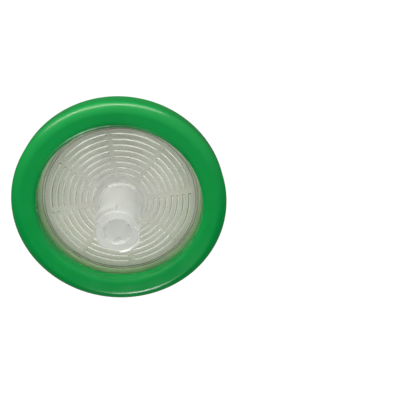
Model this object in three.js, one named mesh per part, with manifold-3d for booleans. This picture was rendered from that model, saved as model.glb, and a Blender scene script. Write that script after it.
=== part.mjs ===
// A syringe filter: two clear housings clamp a membrane, and a coloured ring moulded over their
// flanges seals them. The inlet is a female luer lock port and the outlet is a male luer slip tip.
// Millimetres. +Z is the flow axis and points to the inlet. z = 0 is the flat end of the outlet tip.

import * as THREE from "three";
import { mergeVertices } from "three/addons/utils/BufferGeometryUtils.js";
import Module from "manifold-3d";

const wasm = await Module();
wasm.setup();

// ---------- Driving dimensions ----------

// Sealing ring
const ringDiameter = 35.6;
const ringWidth = 4.05; // radial, from the outer edge to the window
const shoulderWidth = 1.8; // the inlet face slopes off over this much, measured radially
const shoulderDrop = 1.05; // and falls this far at its outer edge
const edgeRounding = 0.2; // between the shoulder and the outer wall
const lowerRounding = 2.3; // outer edge of the outlet face
const lipWidth = 1.1; // the rounded lip round the window, measured radially
const lipWall = 1.95; // straight wall of the window above the inlet cover
const outletLipReach = 0.8; // the outlet side's window is this much smaller in radius
const outletLipWidth = 0.6; // rounded lip of that window, measured radially
const outletLipWall = 0.1; // straight wall of that window below the outlet disc

// Stack of the ring and the housings, from the outlet face up
const outletRecess = 0.65; // outlet disc inside the ring's outlet face
const discThickness = 1.0;
const outletRibHeight = 0.45; // outlet ribs carry the membrane
const membraneThickness = 0.2;
const inletRibGap = 0.14; // inlet ribs end this far above the membrane
const inletRibHeight = 0.16;
const coverThickness = 1.3;
const coverRecess = 2.4; // inlet cover below the ring's inlet face

// Flange and membrane, measured radially
const flangeGrip = 1.65; // how far the flanges reach into the ring from its window
const clampWidth = 0.35; // the membrane's edge that the housings clamp
const flangeClearance = 0.05; // between a flange and the ring's groove
const membraneClearance = 0.1; // between the membrane and its seat

// Flow chamber
const chamberInset = 1.0; // the chamber's wall lies this far inside the ring's window
const firstRibRadius = 3.8; // centre of the innermost rib
const ribPitch = 0.99;
const ribWidth = 0.6; // where a rib meets its plate
const ribTaper = 0.2; // a rib narrows by this on each side towards its end
const ribMargin = 0.55; // least room between the last rib and the chamber wall
const channelCount = 8;
const channelWidth = 0.8;

// Female luer lock inlet port
const portDiameter = 6.7;
const portHeight = 11.0; // above the inlet cover
const mouthDiameter = 4.3;
const luerTaper = 0.06; // change of diameter per length, on both ports
const socketDepth = 8.0; // length of the tapered socket
const inletBore = 2.6; // passage from the socket to the chamber
const mouthRounding = 0.15;
const portFillet = 0.5;
const lugSpan = 60; // degrees
const lugReach = 0.55; // how far a lug stands out of the port
const lugHeight = 2.0;
const lugSetback = 0.2; // lugs start this far below the mouth
const lugSlope = 0.15; // a lug's inlet side falls by this towards its outer edge

// Male luer slip outlet tip
const outletReach = 10.4; // tip end below the ring
const tipDiameter = 3.96; // at the tip's end
const outletBore = 2.0;
const tipRounding = 0.2;
const bossDiameter = 7.2; // where the boss meets the disc
const bossNeckDiameter = 5.7;
const bossHeight = 2.4;
const bossStep = 0.35; // height of the rounded step from the boss to the tip

// ---------- Places worked out from them ----------

const windowRadius = ringDiameter / 2 - ringWidth;
const outletWindowRadius = windowRadius - outletLipReach;
const flangeRadius = windowRadius + flangeGrip;
const chamberRadius = windowRadius - chamberInset;
const membraneRadius = chamberRadius + clampWidth;

const ringBottom = outletReach;
const discFace = ringBottom + outletRecess;
const discRoot = discFace + discThickness;
const membraneBottom = discRoot + outletRibHeight;
const membraneTop = membraneBottom + membraneThickness;
const inletRibEnd = membraneTop + inletRibGap;
const coverRoot = inletRibEnd + inletRibHeight;
const coverFace = coverRoot + coverThickness;
const ringTop = coverFace + coverRecess;
const mouth = coverFace + portHeight;

const segments = 48; // around the axis, the same on every turned surface so that faces meet
const embed = 0.1; // how far a rib or lug runs into what carries it, so that they join

// ---------- Helpers ----------

function point(radius, height) {
  return new THREE.Vector2(radius, height);
}

// A cubic curve that leaves `from` towards `corner` and reaches `to` from `corner`. Its handles go
// `fullness` of the way to the corner.
function roundedCorner(from, corner, to, fullness, steps) {
  const leave = from.clone().lerp(corner, fullness);
  const arrive = to.clone().lerp(corner, fullness);
  return new THREE.CubicBezierCurve(from, leave, arrive, to).getPoints(steps);
}

// Turns a closed outline of (radius, height) points, given counter-clockwise, about the Z axis.
function turned(outline) {
  const geometry = new THREE.LatheGeometry([...outline, outline[0]], segments);
  return geometry.rotateX(Math.PI / 2);
}

function toSolid(geometry) {
  const bare = geometry.clone();
  bare.deleteAttribute("normal");
  bare.deleteAttribute("uv");
  const merged = mergeVertices(bare, 1e-4);
  const mesh = new wasm.Mesh({
    numProp: 3,
    vertProperties: new Float32Array(merged.attributes.position.array),
    triVerts: new Uint32Array(merged.index.array),
  });
  return new wasm.Manifold(mesh);
}

function toGeometry(solid) {
  const mesh = solid.getMesh();
  const geometry = new THREE.BufferGeometry();
  geometry.setAttribute("position", new THREE.BufferAttribute(mesh.vertProperties, 3));
  geometry.setIndex(new THREE.BufferAttribute(mesh.triVerts, 1));
  return geometry;
}

function named(name, geometry, material) {
  const mesh = new THREE.Mesh(geometry, material);
  mesh.name = name;
  return mesh;
}

// ---------- Flow ribs, shared by the two housings ----------

// Concentric ribs that stand on a plate at `root` and end at `end`, cut through by radial channels.
function flowRibs(root, end) {
  const lastRibRadius = chamberRadius - ribMargin - ribWidth / 2;
  const rootHalf = ribWidth / 2;
  const endHalf = rootHalf - ribTaper;
  const buried = root + Math.sign(root - end) * embed;
  let ribs;
  for (let radius = firstRibRadius; radius <= lastRibRadius; radius += ribPitch) {
    const outline = [
      point(radius + rootHalf, buried),
      point(radius + rootHalf, root),
      point(radius + endHalf, end),
      point(radius - endHalf, end),
      point(radius - rootHalf, root),
      point(radius - rootHalf, buried),
    ];
    if (buried > end) {
      outline.reverse();
    }
    const rib = toSolid(turned(outline));
    ribs = ribs ? ribs.add(rib) : rib;
  }
  return ribs.subtract(radialChannels(Math.min(root, end), Math.max(root, end)));
}

// Bars through the axis. Each bar cuts two opposite channels, and no channel lies under a lug.
function radialChannels(bottom, top) {
  const step = (2 * Math.PI) / channelCount;
  const tall = top - bottom + 4 * embed;
  let bars;
  for (let turn = 0; turn < channelCount / 2; turn += 1) {
    const geometry = new THREE.BoxGeometry(2 * chamberRadius, channelWidth, tall);
    geometry.translate(0, 0, (top + bottom) / 2);
    geometry.rotateZ((turn + 0.5) * step);
    const bar = toSolid(geometry);
    bars = bars ? bars.add(bar) : bar;
  }
  return bars;
}

// ---------- Inlet housing ----------

// Half section of the port, the cover and its flange, counter-clockwise from the inner end of the bore.
function inletOutline() {
  const port = portDiameter / 2;
  const mouthRadius = mouthDiameter / 2;
  const socketEnd = (mouthDiameter - luerTaper * socketDepth) / 2;
  const fillet = roundedCorner(
    point(port + portFillet, coverFace),
    point(port, coverFace),
    point(port, coverFace + portFillet),
    0.55,
    4,
  );
  return [
    point(inletBore / 2, coverRoot),
    point(chamberRadius, coverRoot),
    point(chamberRadius, membraneTop),
    point(flangeRadius, membraneTop),
    point(flangeRadius, coverFace),
    ...fillet,
    point(port, mouth - mouthRounding),
    point(port - mouthRounding, mouth),
    point(mouthRadius, mouth),
    point(socketEnd, mouth - socketDepth),
    point(inletBore / 2, mouth - socketDepth - (socketEnd - inletBore / 2)),
  ];
}

// The two lugs of the luer lock, centred on +X and -X: a turned collar, kept only where the two
// sectors cross it.
function luerLugs() {
  const inner = portDiameter / 2 - embed;
  const outer = portDiameter / 2 + lugReach;
  const top = mouth - lugSetback;
  const bottom = top - lugHeight;
  const collar = turned([
    point(inner, bottom),
    point(outer, bottom),
    point(outer, top - lugSlope),
    point(portDiameter / 2, top),
    point(inner, top),
  ]);
  return toSolid(collar).intersect(lugSectors(bottom - embed, top + embed, outer + embed));
}

// Two wedges, lugSpan wide at the axis, that open towards +X and -X.
function lugSectors(bottom, top, reach) {
  const halfWidth = reach * Math.tan(THREE.MathUtils.degToRad(lugSpan / 2));
  const shape = new THREE.Shape([point(0, 0), point(reach, -halfWidth), point(reach, halfWidth)]);
  const wedge = new THREE.ExtrudeGeometry(shape, { depth: top - bottom, bevelEnabled: false });
  wedge.translate(0, 0, bottom);
  const opposite = wedge.clone().rotateZ(Math.PI);
  return toSolid(wedge).add(toSolid(opposite));
}

function inletHousing() {
  const body = toSolid(turned(inletOutline()));
  const solid = body.add(luerLugs()).add(flowRibs(coverRoot, inletRibEnd));
  const material = new THREE.MeshStandardMaterial({ color: 0xd3d6cf, roughness: 0.35, metalness: 0 });
  return named("inlet_housing", toGeometry(solid), material);
}

// ---------- Outlet housing ----------

// Half section of the tip, the boss, the disc and its flange, counter-clockwise from the tip's bore.
function outletOutline() {
  const seatRadius = membraneRadius + membraneClearance;
  const bossNeck = discFace - bossHeight;
  const tipRoot = (tipDiameter + luerTaper * (bossNeck - bossStep)) / 2;
  const bossShoulder = roundedCorner(
    point(tipRoot, bossNeck - bossStep),
    point(bossNeckDiameter / 2, bossNeck - bossStep),
    point(bossNeckDiameter / 2, bossNeck),
    0.55,
    3,
  );
  return [
    point(outletBore / 2, 0),
    point(tipDiameter / 2 - tipRounding, 0),
    point(tipDiameter / 2 + (luerTaper * tipRounding) / 2, tipRounding),
    ...bossShoulder,
    point(bossDiameter / 2, discFace),
    point(flangeRadius, discFace),
    point(flangeRadius, membraneTop),
    point(seatRadius, membraneTop),
    point(seatRadius, membraneBottom),
    point(chamberRadius, membraneBottom),
    point(chamberRadius, discRoot),
    point(outletBore / 2, discRoot),
  ];
}

function outletHousing() {
  const body = toSolid(turned(outletOutline()));
  const solid = body.add(flowRibs(discRoot, membraneBottom));
  const material = new THREE.MeshStandardMaterial({ color: 0xd6d9d4, roughness: 0.3, metalness: 0 });
  return named("outlet_housing", toGeometry(solid), material);
}

// ---------- Membrane ----------

function filterMembrane() {
  const geometry = new THREE.CylinderGeometry(
    membraneRadius,
    membraneRadius,
    membraneThickness,
    segments,
  );
  geometry.rotateX(Math.PI / 2);
  geometry.translate(0, 0, (membraneTop + membraneBottom) / 2);
  const material = new THREE.MeshStandardMaterial({ color: 0xf1f1ec, roughness: 0.85, metalness: 0 });
  return named("filter_membrane", geometry, material);
}

// ---------- Sealing ring ----------

// Section of the ring, counter-clockwise: the groove that holds the flanges, the outlet side, the
// outer wall and the inlet side. The inlet face is flat, with a broad shoulder that slopes off to the
// outer wall and a rounded lip round the window.
function ringOutline() {
  const outer = ringDiameter / 2;
  const groove = flangeRadius + flangeClearance;
  const shoulderTop = point(outer - shoulderWidth, ringTop);
  const shoulderHandle = point(outer - shoulderWidth / 2, ringTop);
  const edge = point(outer, ringTop - shoulderDrop);
  const ontoShoulder = edge.clone().lerp(shoulderHandle, edgeRounding / edge.distanceTo(shoulderHandle));
  const outletLip = roundedCorner(
    point(outletWindowRadius, discFace - outletLipWall),
    point(outletWindowRadius, ringBottom),
    point(outletWindowRadius + outletLipWidth, ringBottom),
    0.55,
    4,
  );
  const lowerEdge = roundedCorner(
    point(outer - lowerRounding, ringBottom),
    point(outer, ringBottom),
    point(outer, ringBottom + lowerRounding),
    0.55,
    7,
  );
  const upperEdge = roundedCorner(
    point(outer, ringTop - shoulderDrop - edgeRounding),
    edge,
    ontoShoulder,
    0.55,
    3,
  );
  const shoulder = roundedCorner(ontoShoulder, shoulderHandle, shoulderTop, 0.55, 7);
  const inletLip = roundedCorner(
    point(windowRadius + lipWidth, ringTop),
    point(windowRadius, ringTop),
    point(windowRadius, coverFace + lipWall),
    0.6,
    6,
  );
  return [
    point(windowRadius, coverFace),
    point(groove, coverFace),
    point(groove, discFace),
    point(outletWindowRadius, discFace),
    ...outletLip,
    ...lowerEdge,
    ...upperEdge,
    ...shoulder.slice(1),
    ...inletLip,
  ];
}

function sealingRing() {
  const material = new THREE.MeshStandardMaterial({ color: 0x1c9a47, roughness: 0.4, metalness: 0 });
  return named("sealing_ring", turned(ringOutline()), material);
}

// ---------- Assembly ----------

const filter = new THREE.Group();
filter.add(inletHousing(), filterMembrane(), outletHousing(), sealingRing());

export default filter;
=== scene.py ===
"""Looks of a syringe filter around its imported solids: two clear mouldings, a white membrane
between them and a green ring moulded over their edges. Metres, +Z along the flow axis to the inlet."""

import math

import bpy
import numpy as np
from mathutils import Matrix, Vector


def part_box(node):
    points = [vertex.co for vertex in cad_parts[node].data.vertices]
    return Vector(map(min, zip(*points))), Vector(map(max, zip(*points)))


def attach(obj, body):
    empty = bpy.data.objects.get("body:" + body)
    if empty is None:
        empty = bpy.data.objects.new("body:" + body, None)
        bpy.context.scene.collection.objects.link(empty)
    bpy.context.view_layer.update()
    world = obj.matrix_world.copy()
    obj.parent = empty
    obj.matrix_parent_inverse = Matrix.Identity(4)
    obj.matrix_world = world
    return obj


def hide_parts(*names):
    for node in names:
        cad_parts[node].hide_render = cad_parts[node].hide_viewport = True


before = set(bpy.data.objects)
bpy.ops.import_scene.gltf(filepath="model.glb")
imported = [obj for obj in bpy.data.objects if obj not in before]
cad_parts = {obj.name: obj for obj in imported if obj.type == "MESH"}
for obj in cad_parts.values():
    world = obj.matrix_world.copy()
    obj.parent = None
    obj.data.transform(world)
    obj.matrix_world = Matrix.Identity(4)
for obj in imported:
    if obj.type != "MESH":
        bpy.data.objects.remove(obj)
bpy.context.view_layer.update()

# ---------- Sizes, in metres ----------

MM = 0.001

# Ring
RING_WIDTH = 4.05 * MM  # radial, from the outer edge to the window
LIP_WALL = 1.95 * MM  # straight wall of the window above the cover
LIP_WIDTH = 1.1 * MM  # rounding from that wall to the inlet face
SHOULDER_WIDTH = 1.8 * MM  # the inlet face curves down over this width to the edge
SHOULDER_DROP = 1.05 * MM  # and by this much
EDGE_ROUNDING = 0.2 * MM
LOWER_ROUNDING = 2.3 * MM  # from the outer wall to the outlet face
OUTLET_LIP_REACH = 0.8 * MM  # the outlet side's window is this much smaller in radius
OUTLET_LIP_WALL = 0.1 * MM
OUTLET_LIP_WIDTH = 0.6 * MM

# Housings
FLANGE_CLEARANCE = 0.05 * MM
COVER_RECESS = 2.4 * MM  # the cover lies this far below the ring's inlet face
COVER_THICKNESS = 1.3 * MM
INLET_RIB_HEIGHT = 0.16 * MM
OUTLET_RIB_HEIGHT = 0.45 * MM
DISC_THICKNESS = 1.0 * MM
CHAMBER_INSET = 1.0 * MM  # the chamber's wall lies this far inside the window
FIRST_RIB = 3.8 * MM
RIB_PITCH = 0.99 * MM
RIB_WIDTH = 0.6 * MM  # where a rib meets its plate
RIB_TAPER = 0.2 * MM  # a rib narrows by this on each side towards its end
RIB_MARGIN = 0.55 * MM
CHANNEL_COUNT = 8
CHANNEL_WIDTH = 0.8 * MM

# Inlet port
PORT_DIAMETER = 6.7 * MM
MOUTH_DIAMETER = 4.3 * MM
LUER_TAPER = 0.06
SOCKET_DEPTH = 8.0 * MM
INLET_BORE = 2.6 * MM
PORT_FILLET = 0.5 * MM
LUG_HALF_SPAN = math.radians(30)
LUG_REACH = 0.55 * MM
LUG_HEIGHT = 2.0 * MM
LUG_SETBACK = 0.2 * MM
LUG_SLOPE = 0.15 * MM  # the inlet side of a lug falls by this towards its outer edge
LUG_BACK_SLOPE = 0.05 * MM  # and its outlet side rises by this
LUG_FOOT = 0.3 * MM  # the outline of the lugs starts this far below them
RIM_HEIGHT = 0.1 * MM  # and ends this far below the mouth

# Outlet tip
TIP_DIAMETER = 3.96 * MM
OUTLET_BORE = 2.0 * MM
BOSS_DIAMETER = 7.2 * MM
BOSS_NECK_DIAMETER = 5.7 * MM
BOSS_HEIGHT = 2.4 * MM
BOSS_STEP = 0.35 * MM
BOSS_STEP_FLARE = 0.1 * MM  # the step gets wider by this towards the disc

# Membrane and its seat
MEMBRANE_EDGE = 0.05 * MM
SEAT_CLEARANCE = 0.1 * MM  # round the membrane
SEAT_DRAFT = 0.02 * MM  # the walls of the seat and of the chamber lean in by this towards the disc
SEAM_END = 0.3 * MM  # the even rows of the face between the flanges stop this far from its edges

# Gaps and roundings
SKIN_GAP = 0.01 * MM  # air left between faces that touch, so that no two surfaces coincide
EDGE = 0.08 * MM  # usual rounding of a moulded edge
RIB_EDGE = 0.05 * MM
SUPPORT = 0.04 * MM  # a straight side has one more point this close to a rounding
ROUND_OFF = 1e-9  # more than a sum of sizes can be off by

# Shares of the way to the corner that the handles of a rounding's curve go
QUARTER_CIRCLE = 0.5523
QUADRATIC = 0.6667
LIP_FULLNESS = 0.6

# Fineness of the meshes
SEAM_ROWS = 8
MEMBRANE_COLUMNS = 192
RING_COLUMNS = 240

# ---------- Places taken from the frame ----------

ring_low, ring_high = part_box("sealing_ring")
inlet_low, inlet_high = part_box("inlet_housing")
outlet_low, outlet_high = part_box("outlet_housing")
membrane_low, membrane_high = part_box("filter_membrane")

RING_RADIUS = ring_high.x
WINDOW_RADIUS = RING_RADIUS - RING_WIDTH
CHAMBER_RADIUS = WINDOW_RADIUS - CHAMBER_INSET
FLANGE_RADIUS = inlet_high.x
MEMBRANE_RADIUS = membrane_high.x
SEAT_RADIUS = MEMBRANE_RADIUS + SEAT_CLEARANCE

RING_BOTTOM = ring_low.z
RING_TOP = ring_high.z
MOUTH = inlet_high.z
COVER_FACE = RING_TOP - COVER_RECESS
COVER_ROOT = COVER_FACE - COVER_THICKNESS
MEMBRANE_TOP = membrane_high.z
MEMBRANE_BOTTOM = membrane_low.z
DISC_ROOT = MEMBRANE_BOTTOM - OUTLET_RIB_HEIGHT
DISC_FACE = DISC_ROOT - DISC_THICKNESS

# ---------- Outlines ----------


def bezier_corner(start, corner, end, fullness, steps):
    """Points of a cubic curve from start to end whose two handles go `fullness` of the way to the corner:
    (1-t)^3 start + 3 (1-t)^2 t leave + 3 (1-t) t^2 arrive + t^3 end."""
    start, corner, end = (np.asarray(p, float) for p in (start, corner, end))
    leave = start + (corner - start) * fullness
    arrive = end + (corner - end) * fullness
    t = np.linspace(0, 1, steps + 1)[:, None]
    return (
        (1 - t) ** 3 * start
        + 3 * (1 - t) ** 2 * t * leave
        + 3 * (1 - t) * t**2 * arrive
        + t**3 * end
    )


def soft_path(corners, steps=4):
    """An open path through (radius, height, rounding) corners. Each inner corner becomes a rounding that
    starts and ends that far from it, with one more point on each straight side close to the rounding,
    so that smooth shading stays flat on the side."""
    path = [np.array([corners[0][:2]])]
    reach = [0.0] + [c[2] for c in corners[1:-1]] + [0.0]
    spots = [np.array(c[:2], float) for c in corners]
    for k in range(1, len(corners) - 1):
        sides = []
        for other in (k - 1, k + 1):
            away = spots[other] - spots[k]
            length = np.linalg.norm(away)
            free = length - reach[k] - reach[other]
            near = spots[k] + away / length * reach[k]
            support = near + away / length * min(SUPPORT, free / 3)
            sides.append((support, near))
        path.append(sides[0][0][None])
        path.append(bezier_corner(sides[0][1], spots[k], sides[1][1], QUARTER_CIRCLE, steps))
        path.append(sides[1][0][None])
    path.append(np.array([corners[-1][:2]]))
    return np.concatenate(path)


def joined(sections):
    """One array out of sections that each start where the one before ended. The last point of each is
    dropped, because the next section, or the start of the whole outline, has it."""
    return np.concatenate([s[:-1] for s in sections])


# ---------- Meshes ----------


def grid_piece(name, points):
    """A closed mesh from a grid of points (rows, columns, xyz) that wraps round in both directions. The
    face between four neighbours is (i, j), (i, j+1), (i+1, j+1), (i+1, j)."""
    rows, columns = points.shape[:2]
    i, j = np.meshgrid(np.arange(rows), np.arange(columns), indexing="ij")
    right, below = (j + 1) % columns, (i + 1) % rows
    quads = np.stack(
        [i * columns + j, i * columns + right, below * columns + right, below * columns + j], -1
    ).reshape(-1, 4)
    return mesh_piece(name, points.reshape(-1, 3), quads)


def mesh_piece(name, vertices, quads):
    """A smooth-shaded mesh of four-sided faces, in the scene."""
    mesh = bpy.data.meshes.new(name)
    mesh.vertices.add(len(vertices))
    mesh.vertices.foreach_set("co", vertices.astype(np.float32).ravel())
    mesh.loops.add(quads.size)
    mesh.loops.foreach_set("vertex_index", quads.astype(np.int32).ravel())
    mesh.polygons.add(len(quads))
    mesh.polygons.foreach_set("loop_start", np.arange(0, quads.size, 4, dtype=np.int32))
    mesh.polygons.foreach_set("use_smooth", np.ones(len(quads), bool))
    mesh.update(calc_edges=True)
    mesh.validate()
    piece = bpy.data.objects.new(name, mesh)
    bpy.context.scene.collection.objects.link(piece)
    return piece


def turned(outline, azimuths):
    """Points (radius cos a, radius sin a, height) for each outline point and each azimuth a. Azimuths are
    one row for all, or one row for each outline point."""
    azimuths = np.broadcast_to(azimuths, (len(outline), azimuths.shape[-1]))
    radius, height = outline[:, :1], outline[:, 1:]
    x, y = radius * np.cos(azimuths), radius * np.sin(azimuths)
    return np.stack([x, y, height + 0 * azimuths], -1)


# ---------- Columns that follow the channels ----------

HALF_SECTOR = math.pi / CHANNEL_COUNT
SOFT_END = 0.1 * MM  # half the width of a rib's rounded end at a channel
INSIDE = np.array([-0.6, 0.0, 0.6])  # columns in a channel, in half widths of it
ACROSS = np.array([-1.0, -0.5, 0.0, 0.5, 1.0])  # columns on a rib's end, in half widths of it
OUTSIDE = np.arange(1, 9) / 8  # columns on the ribs, as shares of the way to the sector's end
LUG_EDGE = LUG_HALF_SPAN - HALF_SECTOR  # on the port the channels' columns open up to the lugs' ends


def column_table():
    """The columns of one sector, which is centred on a channel. A column lies at
    a * edge + b * soft + c * half sector from the centre, where edge is the half width of the channel and
    soft that of a rib's end, as angles. The last value says how much of a rib is left there, from 0 in the
    channel to 1, with a smooth step 3 s^2 - 2 s^3 between."""
    columns = [(s, -s, 0.0, 0.0) for s in INSIDE]
    for side in (-1, 1):
        for q in ACROSS:
            s = (q + 1) / 2
            columns.append((side, side * q, 0.0, s * s * (3 - 2 * s)))
        for t in OUTSIDE:
            columns.append((side * (1 - t), side * (1 - t), side * t, 1.0))
    columns = [c for c in columns if c[2] != -1.0]  # the sector's two ends are one column
    table = np.array(columns)
    usual_sizes = [0.3, 0.01, 1.0, 0.0]  # of edge, soft and half sector, to put the columns in order
    return table[np.argsort(table @ usual_sizes)]


def column_azimuths(edge, soft):
    """Azimuths for each row and column, and the share of a rib that is left in each column. edge and soft
    give each row's channel half width and rounded end, as angles."""
    table = column_table()
    edge, soft = edge[:, None], soft[:, None]
    offset = edge * table[:, 0] + soft * table[:, 1] + HALF_SECTOR * table[:, 2]
    centres = (2 * np.arange(CHANNEL_COUNT) + 1) * HALF_SECTOR
    azimuths = np.concatenate([offset + c for c in centres], axis=1)
    return azimuths, np.tile(table[:, 3], CHANNEL_COUNT)


def row_angles(outline, ribbed):
    """Half widths of the channel and of a rib's end, as angles, for each point of an outline. ribbed says
    how much a point belongs to the ribbed face, from 0 to 1."""
    radius = np.maximum(outline[:, 0], FIRST_RIB - RIB_PITCH / 2)
    channel = np.arcsin(CHANNEL_WIDTH / 2 / radius)
    edge = channel * ribbed + LUG_EDGE * (1 - ribbed)
    return edge, SOFT_END / radius


# ---------- Ribs ----------


def rib_radii():
    """Middles of the ribs, from the first one out to the last that fits in the chamber."""
    last = CHAMBER_RADIUS - RIB_MARGIN - RIB_WIDTH / 2
    return np.arange(FIRST_RIB, last + ROUND_OFF, RIB_PITCH)


def ribbed_face(root, end):
    """Two outlines of a plate's inner face, from the innermost gap outwards: flat at `root`, and with
    rounded ribs that reach `end`. They have the same number of points."""
    flat, ribbed = [], []
    half, top_half = RIB_WIDTH / 2, RIB_WIDTH / 2 - RIB_TAPER
    for radius in rib_radii():
        path = soft_path(
            [
                (radius - RIB_PITCH / 2, root, 0),
                (radius - half, root, RIB_EDGE),
                (radius - top_half, end, RIB_EDGE),
                (radius + top_half, end, RIB_EDGE),
                (radius + half, root, RIB_EDGE),
                (radius + RIB_PITCH / 2, root, 0),
            ],
            steps=3,
        )
        ribbed.append(path)
        flat.append(np.linspace(path[0], path[-1], len(path)))
    return joined(flat), joined(ribbed)


# ---------- Inlet moulding ----------


def inlet_moulding():
    """Turned outline of the port, cover and flange. Where a column crosses a channel the ribs go down to
    the plate, and where it crosses a lug the port's wall steps out."""
    port = PORT_DIAMETER / 2
    socket_end = (MOUTH_DIAMETER - LUER_TAPER * SOCKET_DEPTH) / 2
    bore = INLET_BORE / 2
    rib_end = COVER_ROOT - INLET_RIB_HEIGHT
    flat, ribbed = ribbed_face(COVER_ROOT, rib_end)
    after_ribs = flat[-1]
    seam = MEMBRANE_TOP + SKIN_GAP
    flange = FLANGE_RADIUS - SKIN_GAP
    lug_low = MOUTH - LUG_SETBACK - LUG_HEIGHT
    underside = soft_path(
        [
            (after_ribs[0], COVER_ROOT, 0),
            (CHAMBER_RADIUS, COVER_ROOT, EDGE),
            (CHAMBER_RADIUS, seam, EDGE / 2),
            (CHAMBER_RADIUS + SEAM_END, seam, 0),
        ]
    )
    seam_face = np.linspace((CHAMBER_RADIUS + SEAM_END, seam), (flange - SEAM_END, seam), SEAM_ROWS)
    outside = soft_path(
        [
            (flange - SEAM_END, seam, 0),
            (flange, seam, EDGE),
            (flange, COVER_FACE - SKIN_GAP, EDGE),
            (port, COVER_FACE - SKIN_GAP, PORT_FILLET),
            (port, lug_low - LUG_FOOT, 0),
        ]
    )
    lug = soft_path(
        [
            (port, lug_low - LUG_FOOT, 0),
            (port, lug_low, EDGE / 2),
            (port + LUG_REACH, lug_low + LUG_BACK_SLOPE, EDGE),
            (port + LUG_REACH, MOUTH - LUG_SETBACK - LUG_SLOPE, EDGE),
            (port, MOUTH - LUG_SETBACK, EDGE / 4),
            (port, MOUTH - RIM_HEIGHT, 0),
        ]
    )
    inside = soft_path(
        [
            (port, MOUTH - RIM_HEIGHT, 0),
            (port, MOUTH, EDGE),
            (MOUTH_DIAMETER / 2, MOUTH, EDGE),
            (socket_end, MOUTH - SOCKET_DEPTH, EDGE),
            (bore, MOUTH - SOCKET_DEPTH - (socket_end - bore), EDGE),
            (bore, COVER_ROOT, 2 * EDGE),
            (flat[0][0], COVER_ROOT, 0),
        ]
    )
    no_lug = np.linspace(lug[0], lug[-1], len(lug))
    between = joined([underside, seam_face, outside])
    plain = np.concatenate([flat, between, no_lug[:-1], inside[:-1]])
    shaped = np.concatenate([ribbed, between, lug[:-1], inside[:-1]])
    rows = np.arange(len(plain))
    ribs_end = len(flat)
    seam_start = ribs_end + len(underside) - 1
    port_start = ribs_end + len(between)
    belongs = np.interp(rows, [seam_start, seam_start + SEAM_ROWS], [1.0, 0.0])
    belongs[-1] = 0.5  # the last row, round the bore, leads over from the lugs' columns to the ribs'
    edge, soft = row_angles(plain, belongs)
    azimuths, rib_share = column_azimuths(edge, soft)
    on_ribs = (rows < ribs_end)[:, None]
    on_lugs = ((rows >= port_start) & (rows < port_start + len(lug) - 1))[:, None]
    turn = np.abs((azimuths + math.pi / 2) % math.pi - math.pi / 2)
    past_lug = (turn - LUG_HALF_SPAN) / (2 * soft[:, None])
    lug_share = np.clip(0.5 - past_lug, 0, 1)
    lug_share = lug_share**2 * (3 - 2 * lug_share)
    share = on_ribs * rib_share + on_lugs * lug_share
    points = turned(plain, azimuths)
    points += (turned(shaped, azimuths) - points) * share[..., None]
    return grid_piece("inlet_moulding", points)


# ---------- Outlet moulding ----------


def outlet_moulding():
    """Turned outline of the tip, boss, disc and flange, with ribs on the disc that channels cut through."""
    tip = TIP_DIAMETER / 2
    bore = OUTLET_BORE / 2
    neck = DISC_FACE - BOSS_HEIGHT
    tip_root = tip + LUER_TAPER / 2 * (neck - BOSS_STEP)
    flange = FLANGE_RADIUS - SKIN_GAP
    rim = MEMBRANE_TOP - SKIN_GAP
    rib_end = MEMBRANE_BOTTOM - SKIN_GAP
    flat, ribbed = ribbed_face(DISC_ROOT, rib_end)
    flat, ribbed = flat[::-1], ribbed[::-1]
    below = soft_path(
        [
            (flat[-1][0], DISC_ROOT, 0),
            (bore, DISC_ROOT, 2 * EDGE),
            (bore, 0, EDGE),
            (tip, 0, 2.5 * EDGE),
            (tip_root, neck - BOSS_STEP, EDGE),
            (BOSS_NECK_DIAMETER / 2 - BOSS_STEP_FLARE, neck - BOSS_STEP, 2 * EDGE),
            (BOSS_NECK_DIAMETER / 2, neck, 2 * EDGE),
            (BOSS_DIAMETER / 2, DISC_FACE + SKIN_GAP, 3 * EDGE),
            (flange, DISC_FACE + SKIN_GAP, EDGE),
            (flange, rim, EDGE),
            (SEAT_RADIUS, rim, EDGE / 2),
            (SEAT_RADIUS - SEAT_DRAFT, rib_end, EDGE / 2),
            (CHAMBER_RADIUS, rib_end, EDGE / 2),
            (CHAMBER_RADIUS - SEAT_DRAFT, DISC_ROOT, EDGE),
            (flat[0][0], DISC_ROOT, 0),
        ]
    )
    plain = np.concatenate([flat, below[1:-1]])
    shaped = np.concatenate([ribbed, below[1:-1]])
    rows = np.arange(len(plain))
    belongs = (rows < len(flat)).astype(float)
    edge, soft = row_angles(plain, belongs)
    azimuths, rib_share = column_azimuths(edge, soft)
    points = turned(plain, azimuths)
    points += (turned(shaped, azimuths) - points) * rib_share[:, None] * belongs[:, None, None]
    return grid_piece("outlet_moulding", points)


# ---------- Membrane and ring ----------


def membrane_disc():
    """A thin turned disc with rounded edges. Its centre is closed by a ring of faces too small to see."""
    centre = 0.002 * MM
    outline = soft_path(
        [
            (centre, MEMBRANE_BOTTOM, 0),
            (MEMBRANE_RADIUS, MEMBRANE_BOTTOM, MEMBRANE_EDGE),
            (MEMBRANE_RADIUS, MEMBRANE_TOP, MEMBRANE_EDGE),
            (centre, MEMBRANE_TOP, 0),
        ]
    )
    azimuths = np.linspace(0, 2 * math.pi, MEMBRANE_COLUMNS, endpoint=False)
    return grid_piece("membrane_disc", turned(outline, azimuths))


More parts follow.
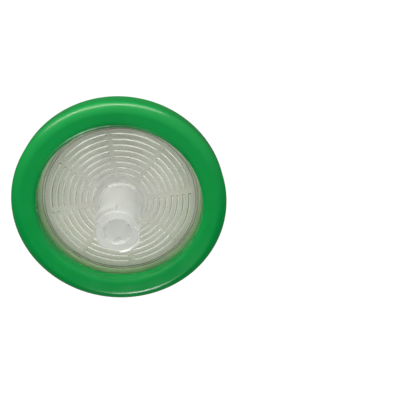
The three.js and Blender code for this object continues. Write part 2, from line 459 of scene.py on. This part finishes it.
def seal_ring():
    """Turned outline of the C section: the groove round the flanges, the outlet face, the round lower
    edge, the outer wall, a shoulder that is one quadratic curve from a narrow edge to the flat inlet
    face, and the lip that rounds down into the wall of the window."""
    inner = WINDOW_RADIUS
    outlet_inner = inner - OUTLET_LIP_REACH
    shoulder_start = RING_RADIUS - SHOULDER_WIDTH
    edge = np.array([RING_RADIUS, RING_TOP - SHOULDER_DROP])
    handle = np.array([RING_RADIUS - SHOULDER_WIDTH / 2, RING_TOP])
    along = (handle - edge) / np.linalg.norm(handle - edge)
    edge_end = edge + along * EDGE_ROUNDING
    groove = soft_path(
        [
            (inner, COVER_FACE + LIP_WALL, 0),
            (inner, COVER_FACE, EDGE / 2),
            (FLANGE_RADIUS + FLANGE_CLEARANCE, COVER_FACE, EDGE / 2),
            (FLANGE_RADIUS + FLANGE_CLEARANCE, DISC_FACE, EDGE / 2),
            (outlet_inner, DISC_FACE, EDGE / 2),
            (outlet_inner, DISC_FACE - OUTLET_LIP_WALL, 0),
        ]
    )
    outlet_lip = bezier_corner(
        (outlet_inner, DISC_FACE - OUTLET_LIP_WALL),
        (outlet_inner, RING_BOTTOM),
        (outlet_inner + OUTLET_LIP_WIDTH, RING_BOTTOM),
        QUARTER_CIRCLE,
        steps=10,
    )
    lower_edge = bezier_corner(
        (RING_RADIUS - LOWER_ROUNDING, RING_BOTTOM),
        (RING_RADIUS, RING_BOTTOM),
        (RING_RADIUS, RING_BOTTOM + LOWER_ROUNDING),
        QUARTER_CIRCLE,
        steps=24,
    )
    outlet_face = np.linspace(outlet_lip[-1], lower_edge[0], 5)
    wall = np.linspace(lower_edge[-1], edge - (0, EDGE_ROUNDING), 7)
    edge_round = bezier_corner(wall[-1], edge, edge_end, QUARTER_CIRCLE, steps=8)
    shoulder = bezier_corner(edge_end, handle, (shoulder_start, RING_TOP), QUADRATIC, steps=20)
    lip = bezier_corner(
        (inner + LIP_WIDTH, RING_TOP),
        (inner, RING_TOP),
        (inner, COVER_FACE + LIP_WALL),
        LIP_FULLNESS,
        steps=20,
    )
    inlet_face = np.linspace(shoulder[-1], lip[0], 6)
    outline = joined(
        [groove, outlet_lip, outlet_face, lower_edge, wall, edge_round, shoulder, inlet_face, lip]
    )
    azimuths = np.linspace(0, 2 * math.pi, RING_COLUMNS, endpoint=False)
    return grid_piece("seal_ring", turned(outline, azimuths))


# ---------- Materials ----------

# Scales of the noise are in waves to a metre.
CLEAR_MOTTLE = 300
CLEAR_GRAIN = 3000
GREEN_MOTTLE = 250
GREEN_GRAIN = 2500
NOISE_RANGE = (0.3, 0.7)  # most of the noise's values lie between these
RELIEF = 0.01 * MM  # depth of the bump that the grain makes
PLASTIC_INDEX = 1.49  # refractive index of polypropylene
PORT_ZONE = BOSS_DIAMETER / 2 + 0.6 * MM  # the milky walls of both ports lie within this radius
FROST = 0.3  # roughness that the clear plates have more at the foot of their ports
FROST_RADIUS = 7.5 * MM  # and none of it from here outwards
PLATE_GLOW_AND_SHADE = (0.87, 0.9, 0.82)  # painted green light of the ring and painted shade: colour of the clear plates next to the ring
WELD_RING_GLOW = (0.16, 0.62, 0.20)  # painted green light of the ring on the weld next to it
SHADE_BETWEEN_RIBS = (0.84, 0.83, 0.79)  # painted shade: colour of the membrane between the ribs
FILM_BACKLIGHT = 0.35  # share of the membrane that scatters light that comes from behind
CHANNEL_EDGE = (0.35, 0.65)  # widths from a channel's middle where the painted light and shade start and are full


def moulded_surface_group():
    """A node group for moulded plastic. It mixes two sizes of noise on Object coordinates into a small
    change of roughness and a height for a bump."""
    group = bpy.data.node_groups.new("moulded_surface", "ShaderNodeTree")
    for name in ("Mottle size", "Grain size", "Smoothest", "Roughest"):
        group.interface.new_socket(name, in_out="INPUT", socket_type="NodeSocketFloat")
    for name in ("Roughness", "Height", "Mottle"):
        group.interface.new_socket(name, in_out="OUTPUT", socket_type="NodeSocketFloat")
    nodes, links = group.nodes, group.links
    given = nodes.new("NodeGroupInput")
    result = nodes.new("NodeGroupOutput")
    place = nodes.new("ShaderNodeTexCoord")
    mottle = nodes.new("ShaderNodeTexNoise")
    grain = nodes.new("ShaderNodeTexNoise")
    mottle.inputs["Detail"].default_value = 3
    grain.inputs["Detail"].default_value = 4
    spread = nodes.new("ShaderNodeMapRange")
    for noise, size in ((mottle, "Mottle size"), (grain, "Grain size")):
        links.new(place.outputs["Object"], noise.inputs["Vector"])
        links.new(given.outputs[size], noise.inputs["Scale"])
    spread.inputs["From Min"].default_value, spread.inputs["From Max"].default_value = NOISE_RANGE
    links.new(mottle.outputs["Fac"], spread.inputs["Value"])
    links.new(given.outputs["Smoothest"], spread.inputs["To Min"])
    links.new(given.outputs["Roughest"], spread.inputs["To Max"])
    links.new(spread.outputs["Result"], result.inputs["Roughness"])
    links.new(grain.outputs["Fac"], result.inputs["Height"])
    links.new(mottle.outputs["Fac"], result.inputs["Mottle"])
    return group


MOULDED = moulded_surface_group()


def plastic(name, mottle_size, grain_size, smoothest, roughest, bump):
    """A Principled material with the moulded surface on its roughness and normal. Returns the material,
    its shader node and the group node."""
    material = bpy.data.materials.new(name)
    material.use_nodes = True
    nodes, links = material.node_tree.nodes, material.node_tree.links
    shader = nodes["Principled BSDF"]
    surface = nodes.new("ShaderNodeGroup")
    surface.node_tree = MOULDED
    surface.inputs["Mottle size"].default_value = mottle_size
    surface.inputs["Grain size"].default_value = grain_size
    surface.inputs["Smoothest"].default_value = smoothest
    surface.inputs["Roughest"].default_value = roughest
    relief = nodes.new("ShaderNodeBump")
    relief.inputs["Strength"].default_value = bump
    relief.inputs["Distance"].default_value = RELIEF
    links.new(surface.outputs["Roughness"], shader.inputs["Roughness"])
    links.new(surface.outputs["Height"], relief.inputs["Height"])
    links.new(relief.outputs["Normal"], shader.inputs["Normal"])
    return material, shader, surface


def blend_colours(material, factor, first, second):
    """The output of a Mix node that goes from the first colour to the second with a factor."""
    nodes, links = material.node_tree.nodes, material.node_tree.links
    mix = nodes.new("ShaderNodeMix")
    mix.data_type = "RGBA"
    mix.inputs["A"].default_value = (*first, 1)
    mix.inputs["B"].default_value = (*second, 1)
    links.new(factor, mix.inputs["Factor"])
    return mix.outputs["Result"]


def clear_plastic(name, first, second, clearness, backlight, smoothest, roughest):
    """Natural polypropylene, from a clear plate to a milky wall: `clearness` of it passes light as glass
    does and `backlight` of it scatters light that comes from behind."""
    material, shader, surface = plastic(
        name, CLEAR_MOTTLE, CLEAR_GRAIN, smoothest, roughest, bump=0.1
    )
    nodes, links = material.node_tree.nodes, material.node_tree.links
    colour = blend_colours(material, surface.outputs["Mottle"], first, second)
    links.new(colour, shader.inputs["Base Color"])
    shader.inputs["IOR"].default_value = PLASTIC_INDEX
    shader.inputs["Transmission Weight"].default_value = clearness
    scatter = nodes.new("ShaderNodeBsdfTranslucent")
    links.new(colour, scatter.inputs["Color"])
    body = nodes.new("ShaderNodeMixShader")
    body.inputs["Fac"].default_value = backlight
    links.new(shader.outputs["BSDF"], body.inputs[1])
    links.new(scatter.outputs["BSDF"], body.inputs[2])
    links.new(body.outputs["Shader"], nodes["Material Output"].inputs["Surface"])
    return material


def green_plastic():
    """Green polypropylene with a satin skin."""
    material, shader, surface = plastic(
        "green_polypropylene", GREEN_MOTTLE, GREEN_GRAIN, smoothest=0.2, roughest=0.27, bump=0.1
    )
    mottle = surface.outputs["Mottle"]
    colour = blend_colours(material, mottle, (0.001, 0.25, 0.046), (0.002, 0.28, 0.052))
    material.node_tree.links.new(colour, shader.inputs["Base Color"])
    shader.inputs["IOR"].default_value = PLASTIC_INDEX
    shader.inputs["Specular IOR Level"].default_value = 0.3
    return material


def caustic_bands_group():
    """A node group for painted light and shade on the membrane in place of the ribs' caustics: 1 along the
    middle of a rib and 0 between two ribs, as 0.5 + 0.5 cos of the distance from the axis, one wave to a
    rib. It fades to 0.5 in the channels, which are a fixed width and evenly spaced round the axis."""
    group = bpy.data.node_groups.new("painted_rib_light", "ShaderNodeTree")
    group.interface.new_socket("Painted light", in_out="OUTPUT", socket_type="NodeSocketFloat")
    for name in ("Rib pitch", "First rib", "Channel count", "Channel width"):
        group.interface.new_socket(name, in_out="INPUT", socket_type="NodeSocketFloat")
    nodes, links = group.nodes, group.links
    given = nodes.new("NodeGroupInput")
    result = nodes.new("NodeGroupOutput")

    def math_node(operation, *values):
        """The output of a Math node on plain values and on other nodes' outputs."""
        node = nodes.new("ShaderNodeMath")
        node.operation = operation
        for socket, value in zip(node.inputs, values):
            if isinstance(value, (int, float)):
                socket.default_value = value
            else:
                links.new(value, socket)
        return node.outputs["Value"]

    place = nodes.new("ShaderNodeTexCoord")
    parts = nodes.new("ShaderNodeSeparateXYZ")
    links.new(place.outputs["Object"], parts.inputs["Vector"])
    x, y = parts.outputs["X"], parts.outputs["Y"]
    radius = math_node("SQRT", math_node("ADD", math_node("POWER", x, 2), math_node("POWER", y, 2)))
    past_first = math_node("SUBTRACT", radius, given.outputs["First rib"])
    waves = math_node("DIVIDE", past_first, given.outputs["Rib pitch"])
    wave = math_node("COSINE", math_node("MULTIPLY", waves, 2 * math.pi))
    turns = math_node("DIVIDE", math_node("ARCTAN2", y, x), 2 * math.pi)
    sectors = math_node("MULTIPLY", turns, given.outputs["Channel count"])
    off_middle = math_node("ABSOLUTE", math_node("SUBTRACT", math_node("FRACT", sectors), 0.5))
    sector_angle = math_node("DIVIDE", 2 * math.pi, given.outputs["Channel count"])
    arc = math_node("MULTIPLY", math_node("MULTIPLY", off_middle, radius), sector_angle)
    beside = nodes.new("ShaderNodeMapRange")
    beside.interpolation_type = "SMOOTHSTEP"
    links.new(arc, beside.inputs["Value"])
    for limit, share in zip(("From Min", "From Max"), CHANNEL_EDGE):
        distance = math_node("MULTIPLY", given.outputs["Channel width"], share)
        links.new(distance, beside.inputs[limit])
    half = math_node("MULTIPLY", math_node("MULTIPLY", wave, beside.outputs["Result"]), 0.5)
    links.new(math_node("ADD", half, 0.5), result.inputs["Painted light"])
    return group


def lit_bonded_plastic():
    """The ring's green where it is fused to the clear flanges, paler and brighter than the rest: painted
    light for the light that the translucent ring and the flanges let into the groove.
    """
    material, shader, surface = plastic(
        "bonded_green_painted_light", GREEN_MOTTLE, GREEN_GRAIN, smoothest=0.4, roughest=0.5, bump=0.1
    )
    mottle = surface.outputs["Mottle"]
    # Painted light: much paler and brighter than the ring's own green.
    colour = blend_colours(material, mottle, (0.32, 0.62, 0.26), (0.28, 0.56, 0.22))
    material.node_tree.links.new(colour, shader.inputs["Base Color"])
    shader.inputs["Specular IOR Level"].default_value = 0.1
    return material


def radial_fade_group():
    """A node group that puts out the distance from the filter's axis, as a value that goes evenly from
    0 at one radius to 1 at another."""
    group = bpy.data.node_groups.new("radial_fade", "ShaderNodeTree")
    for name in ("Inner radius", "Outer radius"):
        group.interface.new_socket(name, in_out="INPUT", socket_type="NodeSocketFloat")
    group.interface.new_socket("Fade", in_out="OUTPUT", socket_type="NodeSocketFloat")
    nodes, links = group.nodes, group.links
    given = nodes.new("NodeGroupInput")
    result = nodes.new("NodeGroupOutput")
    place = nodes.new("ShaderNodeTexCoord")
    flat = nodes.new("ShaderNodeVectorMath")
    flat.operation = "MULTIPLY"
    flat.inputs[1].default_value = (1, 1, 0)
    radius = nodes.new("ShaderNodeVectorMath")
    radius.operation = "LENGTH"
    spread = nodes.new("ShaderNodeMapRange")
    links.new(place.outputs["Object"], flat.inputs[0])
    links.new(flat.outputs["Vector"], radius.inputs[0])
    links.new(radius.outputs["Value"], spread.inputs["Value"])
    links.new(given.outputs["Inner radius"], spread.inputs["From Min"])
    links.new(given.outputs["Outer radius"], spread.inputs["From Max"])
    links.new(spread.outputs["Result"], result.inputs["Fade"])
    return group


RADIAL_FADE = radial_fade_group()


def radial_fade(material, inner, outer):
    """The output of a radial fade between two radii, placed in a material."""
    fade = material.node_tree.nodes.new("ShaderNodeGroup")
    fade.node_tree = RADIAL_FADE
    fade.inputs["Inner radius"].default_value = inner
    fade.inputs["Outer radius"].default_value = outer
    return fade.outputs["Fade"]


def tint_outwards(material, tint_colour, inner, outer):
    """Mixes a tint into a material's colour, more and more from one radius to another."""
    nodes, links = material.node_tree.nodes, material.node_tree.links
    shader = nodes["Principled BSDF"]
    plain = shader.inputs["Base Color"].links[0].from_socket
    tint = nodes.new("ShaderNodeMix")
    tint.data_type = "RGBA"
    tint.inputs["B"].default_value = (*tint_colour, 1)
    links.new(radial_fade(material, inner, outer), tint.inputs["Factor"])
    links.new(plain, tint.inputs["A"])
    links.new(tint.outputs["Result"], shader.inputs["Base Color"])


def weld_plastic():
    """The hazy weld between the two flanges, with painted green light of the ring on it, more and more
    towards the ring."""
    material, shader, surface = plastic(
        "flange_weld", mottle_size=400, grain_size=4000, smoothest=0.5, roughest=0.6, bump=0.2
    )
    mottle = surface.outputs["Mottle"]
    pale = blend_colours(material, mottle, (0.72, 0.82, 0.62), (0.66, 0.76, 0.56))
    material.node_tree.links.new(pale, shader.inputs["Base Color"])
    # Painted green light of the ring, stronger towards it.
    tint_outwards(material, WELD_RING_GLOW, SEAT_RADIUS, CHAMBER_RADIUS + 2 * CHAMBER_INSET)
    shader.inputs["Specular IOR Level"].default_value = 0.1
    return material


def frost_near_port(material):
    """Makes a clear plate matt around its port: roughness added at the port's foot, and less and less
    of it outwards."""
    nodes, links = material.node_tree.nodes, material.node_tree.links
    shader = nodes["Principled BSDF"]
    polish = shader.inputs["Roughness"].links[0].from_socket
    frost = nodes.new("ShaderNodeMapRange")
    frost.inputs["To Min"].default_value = FROST
    frost.inputs["To Max"].default_value = 0.0
    total = nodes.new("ShaderNodeMath")
    total.operation = "ADD"
    links.new(radial_fade(material, BOSS_DIAMETER / 2, FROST_RADIUS), frost.inputs["Value"])
    links.new(frost.outputs["Result"], total.inputs[0])
    links.new(polish, total.inputs[1])
    links.new(total.outputs["Value"], shader.inputs["Roughness"])


def membrane_cloth():
    """White porous film, matt, with painted light along the ribs and painted shade between them, in place
    of the ribs' caustics.
    """
    material, shader, surface = plastic(
        "porous_membrane", mottle_size=500, grain_size=6000, smoothest=0.8, roughest=0.95, bump=0.6
    )
    nodes, links = material.node_tree.nodes, material.node_tree.links
    ribs = nodes.new("ShaderNodeGroup")
    ribs.node_tree = caustic_bands_group()
    ribs.inputs["Rib pitch"].default_value = RIB_PITCH
    ribs.inputs["First rib"].default_value = FIRST_RIB
    ribs.inputs["Channel count"].default_value = CHANNEL_COUNT
    ribs.inputs["Channel width"].default_value = CHANNEL_WIDTH
    mottle = surface.outputs["Mottle"]
    pale = blend_colours(material, mottle, (0.96, 0.96, 0.92), (0.92, 0.92, 0.89))
    # Painted shade between the ribs and painted light along them, from the bands of the node group.
    shade = nodes.new("ShaderNodeMix")
    shade.data_type = "RGBA"
    shade.inputs["A"].default_value = (*SHADE_BETWEEN_RIBS, 1)
    links.new(pale, shade.inputs["B"])
    links.new(ribs.outputs["Painted light"], shade.inputs["Factor"])
    links.new(shade.outputs["Result"], shader.inputs["Base Color"])
    shader.inputs["Specular IOR Level"].default_value = 0.2
    through = nodes.new("ShaderNodeBsdfTranslucent")
    film = nodes.new("ShaderNodeMixShader")
    film.inputs["Fac"].default_value = FILM_BACKLIGHT
    links.new(shade.outputs["Result"], through.inputs["Color"])
    links.new(shader.outputs["BSDF"], film.inputs[1])
    links.new(through.outputs["BSDF"], film.inputs[2])
    links.new(film.outputs["Shader"], nodes["Material Output"].inputs["Surface"])
    return material


def dress(
    piece, material, inner=0.0, outer=math.inf, low=-math.inf, high=math.inf, least_x=-math.inf
):
    """Adds a material to a piece and gives it to the faces whose middles lie between two radii, between
    two heights and beyond an x. Without limits the whole piece takes it."""
    mesh = piece.data
    mesh.materials.append(material)
    indices = np.empty(len(mesh.polygons), np.int32)
    middles = np.empty(len(mesh.polygons) * 3)
    mesh.polygons.foreach_get("material_index", indices)
    mesh.polygons.foreach_get("center", middles)
    x, y, z = middles.reshape(-1, 3).T
    radius = np.hypot(x, y)
    chosen = (radius >= inner) & (radius < outer) & (z > low) & (z < high) & (x > least_x)
    indices[chosen] = len(mesh.materials) - 1
    mesh.polygons.foreach_set("material_index", indices)


def place_piece(piece, node):
    """Puts a dressed piece on the root body in place of its solid."""
    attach(piece, "root")
    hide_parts(node)


clear = clear_plastic(
    "clear_polypropylene",
    first=(0.98, 0.98, 0.96),
    second=(0.96, 0.96, 0.94),
    clearness=1.0,
    backlight=0.0,
    smoothest=0.02,
    roughest=0.05,
)
port_wall = clear_plastic(
    "hazy_polypropylene",
    first=(0.93, 0.94, 0.93),
    second=(0.90, 0.91, 0.90),
    clearness=0.85,
    backlight=0.12,
    smoothest=0.3,
    roughest=0.4,
)
milky = clear_plastic(
    "milky_polypropylene",
    first=(0.92, 0.93, 0.92),
    second=(0.89, 0.90, 0.89),
    clearness=0.65,
    backlight=0.25,
    smoothest=0.2,
    roughest=0.3,
)
# A darker copy of the milky plastic: painted shade inside the socket.
shaded_socket_wall = clear_plastic(
    "matt_socket_shade",
    first=(0.86, 0.87, 0.86),
    second=(0.82, 0.83, 0.82),
    clearness=0.65,
    backlight=0.25,
    smoothest=0.25,
    roughest=0.35,
)
# A near-opaque, paler copy of the port's plastic: a painted highlight on a lug's top.
painted_lug_highlight = clear_plastic(
    "lug_highlight_white",
    first=(0.98, 0.98, 0.95),
    second=(0.96, 0.96, 0.93),
    clearness=0.1,
    backlight=0.2,
    smoothest=0.24,
    roughest=0.3,
)
frost_near_port(clear)
# Painted green light and painted shade: the plates get greener and darker towards the ring.
tint_outwards(clear, PLATE_GLOW_AND_SHADE, BOSS_DIAMETER / 2, WINDOW_RADIUS)

inlet = inlet_moulding()
dress(inlet, clear)
dress(inlet, port_wall, outer=PORT_ZONE, low=COVER_ROOT + EDGE)
dress(
    inlet,
    milky,
    outer=PORT_DIAMETER / 2 + PORT_FILLET,
    low=COVER_ROOT + EDGE,
    high=COVER_FACE + PORT_FILLET,
)
dress(inlet, milky, outer=PORT_DIAMETER / 2, low=MOUTH - 2 * EDGE)
# Painted shade on the socket's inner faces.
dress(inlet, shaded_socket_wall, outer=MOUTH_DIAMETER / 2, low=COVER_ROOT + EDGE)
# Painted highlight: only the lug on the +X side, towards the back lamp, takes the white.
dress(
    inlet,
    painted_lug_highlight,
    inner=PORT_DIAMETER / 2 + EDGE / 2,
    low=MOUTH - LUG_SETBACK - LUG_SLOPE - EDGE,
    least_x=0.0,
)
place_piece(inlet, "inlet_housing")

outlet = outlet_moulding()
dress(outlet, clear)
dress(outlet, port_wall, outer=PORT_ZONE, high=DISC_ROOT - EDGE)
dress(outlet, weld_plastic(), inner=SEAT_RADIUS, low=MEMBRANE_TOP - EDGE / 2)
place_piece(outlet, "outlet_housing")

membrane = membrane_disc()
dress(membrane, membrane_cloth())
place_piece(membrane, "filter_membrane")

ring = seal_ring()
dress(ring, green_plastic())
# Painted light: the groove's faces take the paler, brighter green.
dress(
    ring,
    lit_bonded_plastic(),
    inner=CHAMBER_RADIUS,
    outer=FLANGE_RADIUS + EDGE,
    low=DISC_FACE - EDGE / 4,
    high=COVER_FACE + EDGE / 4,
)
place_piece(ring, "sealing_ring")

# ---------- Stage, light and camera ----------

CAMERA_AZIMUTH = math.radians(141.5)  # from +X, counter-clockwise
CAMERA_ELEVATION = math.radians(66.17)
CAMERA_DISTANCE = 105.3 * MM  # from the middle of the cover
AIM_TOWARDS = 2.25 * MM  # the camera looks at a point of the cover's plane this far towards it
AIM_ASIDE = -13.2 * MM  # and this far to the side, so that the filter stands left of the middle
CAMERA_NEAR = 10 * MM
CAMERA_ROLL = math.radians(170.2)  # the port points down in the picture
SENSOR = 36.0  # the camera's width and focal length are in millimetres
FOCAL_LENGTH = 55.8

ROOM_AZIMUTH = math.radians(150)  # of the room's bright side, close to the camera's side
ROOM_ELEVATION = math.radians(12)
ROOM_BRIGHTEST = 1.0
ROOM_DIMMEST = 0.02
ROOM_FALLOFF = -0.4  # cosine of the angle from the bright side where the room gets dimmest
ROOM_SEEN = 1.0  # white that the camera sees besides
ROOM_GLOW = 1.0  # white that the clear plastic lets in besides

FLOOR_HALF = 2.0  # metres
FLOOR_GREY = 0.12
FLOOR_SEEN = 0.95
FLOOR_GLOW = 0.4


def horizontal(azimuth):
    """A level direction of length 1."""
    return Vector((math.cos(azimuth), math.sin(azimuth), 0))


def place_camera():
    """The camera looks down at the inlet side and is rolled, so that the port points down."""
    middle = Vector((0, 0, COVER_FACE))
    towards = horizontal(CAMERA_AZIMUTH)
    aside = horizontal(CAMERA_AZIMUTH + math.pi / 2)
    direction = towards * math.cos(CAMERA_ELEVATION) + Vector((0, 0, math.sin(CAMERA_ELEVATION)))
    eye = middle + direction * CAMERA_DISTANCE
    aim = middle + towards * AIM_TOWARDS + aside * AIM_ASIDE
    turn = (aim - eye).to_track_quat("-Z", "Y").to_matrix().to_4x4()
    camera = bpy.data.objects.new("camera", bpy.data.cameras.new("camera"))
    camera.data.sensor_width = SENSOR
    camera.data.lens = FOCAL_LENGTH
    camera.data.clip_start = CAMERA_NEAR
    camera.matrix_world = Matrix.Translation(eye) @ turn @ Matrix.Rotation(CAMERA_ROLL, 4, "Z")
    bpy.context.scene.collection.objects.link(camera)
    bpy.context.scene.camera = camera


def soft_lamp(name, azimuth, elevation, distance, size, power, colour):
    """An oblong lamp of a width and height that faces the middle of the filter. Angles are in degrees,
    lengths in metres and the power is in watts."""
    lamp = bpy.data.lights.new(name, "AREA")
    lamp.shape = "RECTANGLE"
    lamp.size, lamp.size_y = size
    lamp.energy = power
    lamp.color = colour
    middle = Vector((0, 0, COVER_FACE))
    direction = horizontal(math.radians(azimuth)) * math.cos(math.radians(elevation))
    direction += Vector((0, 0, math.sin(math.radians(elevation))))
    lamp_object = bpy.data.objects.new(name, lamp)
    turn = (-direction).to_track_quat("-Z", "Y").to_matrix().to_4x4()
    lamp_object.matrix_world = Matrix.Translation(middle + direction * distance) @ turn
    bpy.context.scene.collection.objects.link(lamp_object)


def white_to_the_eye(tree, lit, to_camera, through_glass):
    """Adds a white glow to the shader `lit` that reflections and scattered light don't see. Rays from the
    camera see it at the strength `to_camera`, and rays through glass at `through_glass`."""
    nodes, links = tree.nodes, tree.links
    path = nodes.new("ShaderNodeLightPath")
    direct = nodes.new("ShaderNodeMath")
    direct.operation = "MULTIPLY"
    direct.inputs[1].default_value = to_camera
    links.new(path.outputs["Is Camera Ray"], direct.inputs[0])
    amount = nodes.new("ShaderNodeMath")
    amount.operation = "MULTIPLY_ADD"
    amount.inputs[1].default_value = through_glass
    links.new(path.outputs["Is Transmission Ray"], amount.inputs[0])
    links.new(direct.outputs["Value"], amount.inputs[2])
    glow = nodes.new("ShaderNodeEmission")
    links.new(amount.outputs["Value"], glow.inputs["Strength"])
    both = nodes.new("ShaderNodeAddShader")
    links.new(lit, both.inputs[0])
    links.new(glow.outputs["Emission"], both.inputs[1])
    return both.outputs["Shader"]


def pale_floor():
    """A wide square at the height that the tip stands on."""
    half = FLOOR_HALF
    corners = np.array([(-half, -half, 0), (half, -half, 0), (half, half, 0), (-half, half, 0)])
    floor = mesh_piece("floor", corners, np.array([[0, 1, 2, 3]]))
    material = bpy.data.materials.new("pale_floor")
    material.use_nodes = True
    nodes, links = material.node_tree.nodes, material.node_tree.links
    shader = nodes["Principled BSDF"]
    shader.inputs["Base Color"].default_value = (FLOOR_GREY, FLOOR_GREY, FLOOR_GREY, 1)
    shader.inputs["Roughness"].default_value = 1.0
    shader.inputs["Specular IOR Level"].default_value = 0.0
    seen = white_to_the_eye(material.node_tree, shader.outputs["BSDF"], FLOOR_SEEN, FLOOR_GLOW)
    links.new(seen, nodes["Material Output"].inputs["Surface"])
    floor.data.materials.append(material)


def soft_world():
    """A white room that is brighter towards one side: its strength goes evenly with the cosine of the
    angle from that side, and stays the same where the cosine is under ROOM_FALLOFF."""
    world = bpy.data.worlds.new("soft_world")
    world.use_nodes = True
    nodes, links = world.node_tree.nodes, world.node_tree.links
    side = horizontal(ROOM_AZIMUTH) * math.cos(ROOM_ELEVATION)
    brightest = side + Vector((0, 0, math.sin(ROOM_ELEVATION)))
    place = nodes.new("ShaderNodeTexCoord")
    along = nodes.new("ShaderNodeVectorMath")
    along.operation = "DOT_PRODUCT"
    along.inputs[1].default_value = brightest
    links.new(place.outputs["Generated"], along.inputs[0])
    level = nodes.new("ShaderNodeMapRange")
    level.inputs["From Min"].default_value = ROOM_FALLOFF
    level.inputs["To Min"].default_value = ROOM_DIMMEST
    level.inputs["To Max"].default_value = ROOM_BRIGHTEST
    links.new(along.outputs["Value"], level.inputs["Value"])
    room = nodes["Background"]
    room.inputs["Color"].default_value = (1, 1, 1, 1)
    links.new(level.outputs["Result"], room.inputs["Strength"])
    seen = white_to_the_eye(world.node_tree, room.outputs["Background"], ROOM_SEEN, ROOM_GLOW)
    links.new(seen, nodes["World Output"].inputs["Surface"])
    bpy.context.scene.world = world


place_camera()
pale_floor()
soft_world()
soft_lamp(
    "key_lamp",
    azimuth=163,
    elevation=18,
    distance=0.35,
    size=(0.64, 0.012),
    power=1.8,
    colour=(1.0, 0.96, 0.84),
)
soft_lamp(
    "back_lamp",
    azimuth=-28,
    elevation=38,
    distance=0.25,
    size=(0.05, 0.05),
    power=0.26,
    colour=(1.0, 1.0, 0.98),
)

bpy.context.scene.view_settings.view_transform = "Standard"
